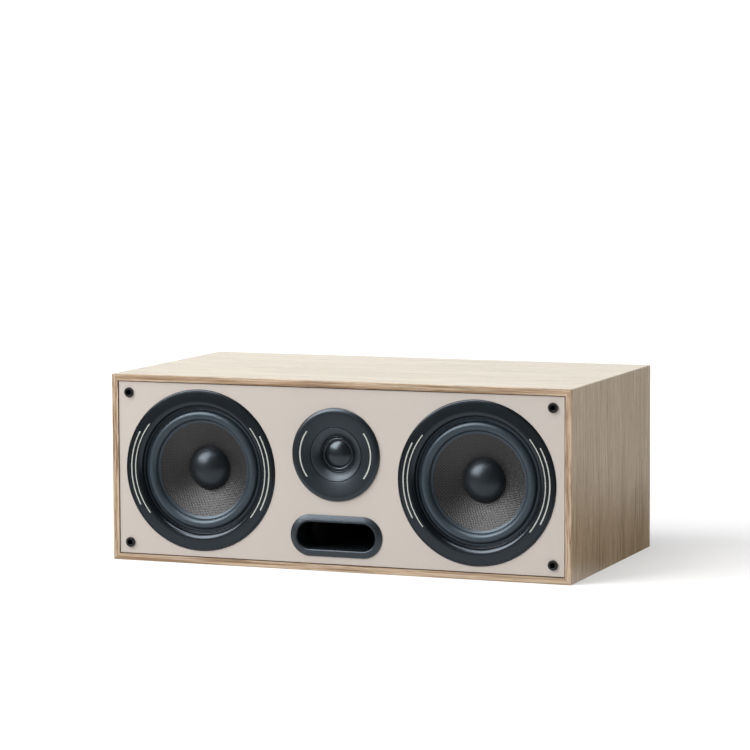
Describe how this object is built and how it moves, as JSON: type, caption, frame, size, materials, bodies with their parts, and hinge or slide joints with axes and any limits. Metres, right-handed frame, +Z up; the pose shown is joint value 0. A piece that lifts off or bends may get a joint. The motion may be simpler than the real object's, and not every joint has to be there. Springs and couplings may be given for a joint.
{
  "type": "center channel speaker",
  "caption": "Low, wide loudspeaker cabinet in oak-look wrap with woven-cone woofers either side of a dome tweeter over a slot port, and screw terminals behind.",
  "frame": {"origin": "middle of the cabinet's base, on the surface it stands on", "axes": "+X along the cabinet's width to the right seen from the front, +Y to the back, +Z up"},
  "size_m": [0.515, 0.284, 0.2],
  "materials": {
    "oak_wrap": "satin oak-grain wrap",
    "baffle_paint": "matte greige paint",
    "back_vinyl": "black grained vinyl",
    "trim_plastic": "satin blue-black moulding",
    "accent_silver": "satin silver inlay",
    "surround_rubber": "satin rubber",
    "cone_weave": "woven fibre cone",
    "cap_rubber": "satin black dome",
    "dome_gloss": "gloss black dome",
    "cast_basket": "black painted casting",
    "plated_steel": "zinc plated",
    "black_steel": "black oxide",
    "ferrite": "grey ferrite",
    "copper_coil": "enamelled copper winding",
    "spider_cloth": "impregnated cloth",
    "foam": "closed-cell foam",
    "port_plastic": "finely textured moulding",
    "duct_card": "black card tube",
    "socket_rubber": "matte black rubber",
    "cup_plastic": "black moulding",
    "gold_plate": "gold plated",
    "red_plastic": "red cap",
    "black_plastic": "black cap",
    "board_laminate": "circuit board",
    "film_case": "film capacitor case",
    "cement": "cement resistor",
    "nylon": "nylon standoff",
    "polyester": "polyester wadding",
    "lead_pvc": "insulated lead"
  },
  "bodies": {
    "cabinet": {"back_panel": "back_vinyl", "binding_posts": "gold_plate", "bottom_panel": "oak_wrap", "capacitors": "film_case", "crossover_board": "board_laminate", "crossover_standoffs": "nylon", "driver_screws": "black_steel", "front_baffle": "baffle_paint", "grille_sockets": "socket_rubber", "high_pass_coil": "copper_coil", "hookup_leads": "lead_pvc", "left_panel": "oak_wrap", "left_woofer_accents": "accent_silver", "left_woofer_basket": "cast_basket", "left_woofer_magnet": "ferrite", "left_woofer_spider": "spider_cloth", "left_woofer_surround": "surround_rubber", "left_woofer_top_plate": "plated_steel", "left_woofer_trim": "trim_plastic", "left_woofer_yoke": "plated_steel", "low_pass_coil": "copper_coil", "port_duct": "duct_card", "port_flange": "port_plastic", "post_nuts": "gold_plate", "resistor": "cement", "right_panel": "oak_wrap", "right_woofer_accents": "accent_silver", "right_woofer_basket": "cast_basket", "right_woofer_magnet": "ferrite", "right_woofer_spider": "spider_cloth", "right_woofer_surround": "surround_rubber", "right_woofer_top_plate": "plated_steel", "right_woofer_trim": "trim_plastic", "right_woofer_yoke": "plated_steel", "terminal_cup": "cup_plastic", "terminal_screws": "black_steel", "top_panel": "oak_wrap", "tweeter_accents": "accent_silver", "tweeter_chassis": "trim_plastic", "tweeter_diaphragm": "dome_gloss", "tweeter_magnet": "ferrite", "tweeter_plate": "trim_plastic", "tweeter_top_plate": "plated_steel", "tweeter_voice_coil": "copper_coil", "tweeter_waveguide": "trim_plastic", "tweeter_yoke": "plated_steel", "wadding": "polyester", "woofer_gaskets": "foam", "woofer_terminals": "plated_steel"},
    "left_woofer_moving": {"left_woofer_cone": "cone_weave", "left_woofer_dust_cap": "cap_rubber", "left_woofer_voice_coil": "copper_coil"},
    "right_woofer_moving": {"right_woofer_cone": "cone_weave", "right_woofer_dust_cap": "cap_rubber", "right_woofer_voice_coil": "copper_coil"},
    "red_clamp": {"red_clamp_washer": "gold_plate"},
    "black_clamp": {"black_clamp_washer": "gold_plate"},
    "red_cap": {"red_knob": "red_plastic"},
    "black_cap": {"black_knob": "black_plastic"}
  },
  "joints": [
    {"name": "left_woofer_stroke", "type": "slide", "parent": "cabinet", "child": "left_woofer_moving", "axis": [0, 1, 0], "range_m": [-0.004, 0.004], "stiffness_N_per_m": 1200, "deforming": ["left_woofer_surround", "left_woofer_spider"]},
    {"name": "right_woofer_stroke", "type": "slide", "parent": "cabinet", "child": "right_woofer_moving", "axis": [0, 1, 0], "range_m": [-0.004, 0.004], "stiffness_N_per_m": 1200, "deforming": ["right_woofer_surround", "right_woofer_spider"]},
    {"name": "red_clamp_travel", "type": "slide", "parent": "cabinet", "child": "red_clamp", "axis": [0, 1, 0], "range_m": [0, 0.0025]},
    {"name": "red_knob_turn", "type": "hinge", "parent": "red_clamp", "child": "red_cap", "pos_m": [-0.015, 0.1172, 0.1], "axis": [0, 1, 0], "range_deg": [0, 904]},
    {"name": "black_clamp_travel", "type": "slide", "parent": "cabinet", "child": "black_clamp", "axis": [0, 1, 0], "range_m": [0, 0.0025]},
    {"name": "black_knob_turn", "type": "hinge", "parent": "black_clamp", "child": "black_cap", "pos_m": [0.015, 0.1172, 0.1], "axis": [0, 1, 0], "range_deg": [0, 904]}
  ],
  "couplings": [
    {"joint": "red_knob_turn", "follows": "red_clamp_travel", "rad_per_m": 6283.2},
    {"joint": "black_knob_turn", "follows": "black_clamp_travel", "rad_per_m": 6283.2}
  ]
}
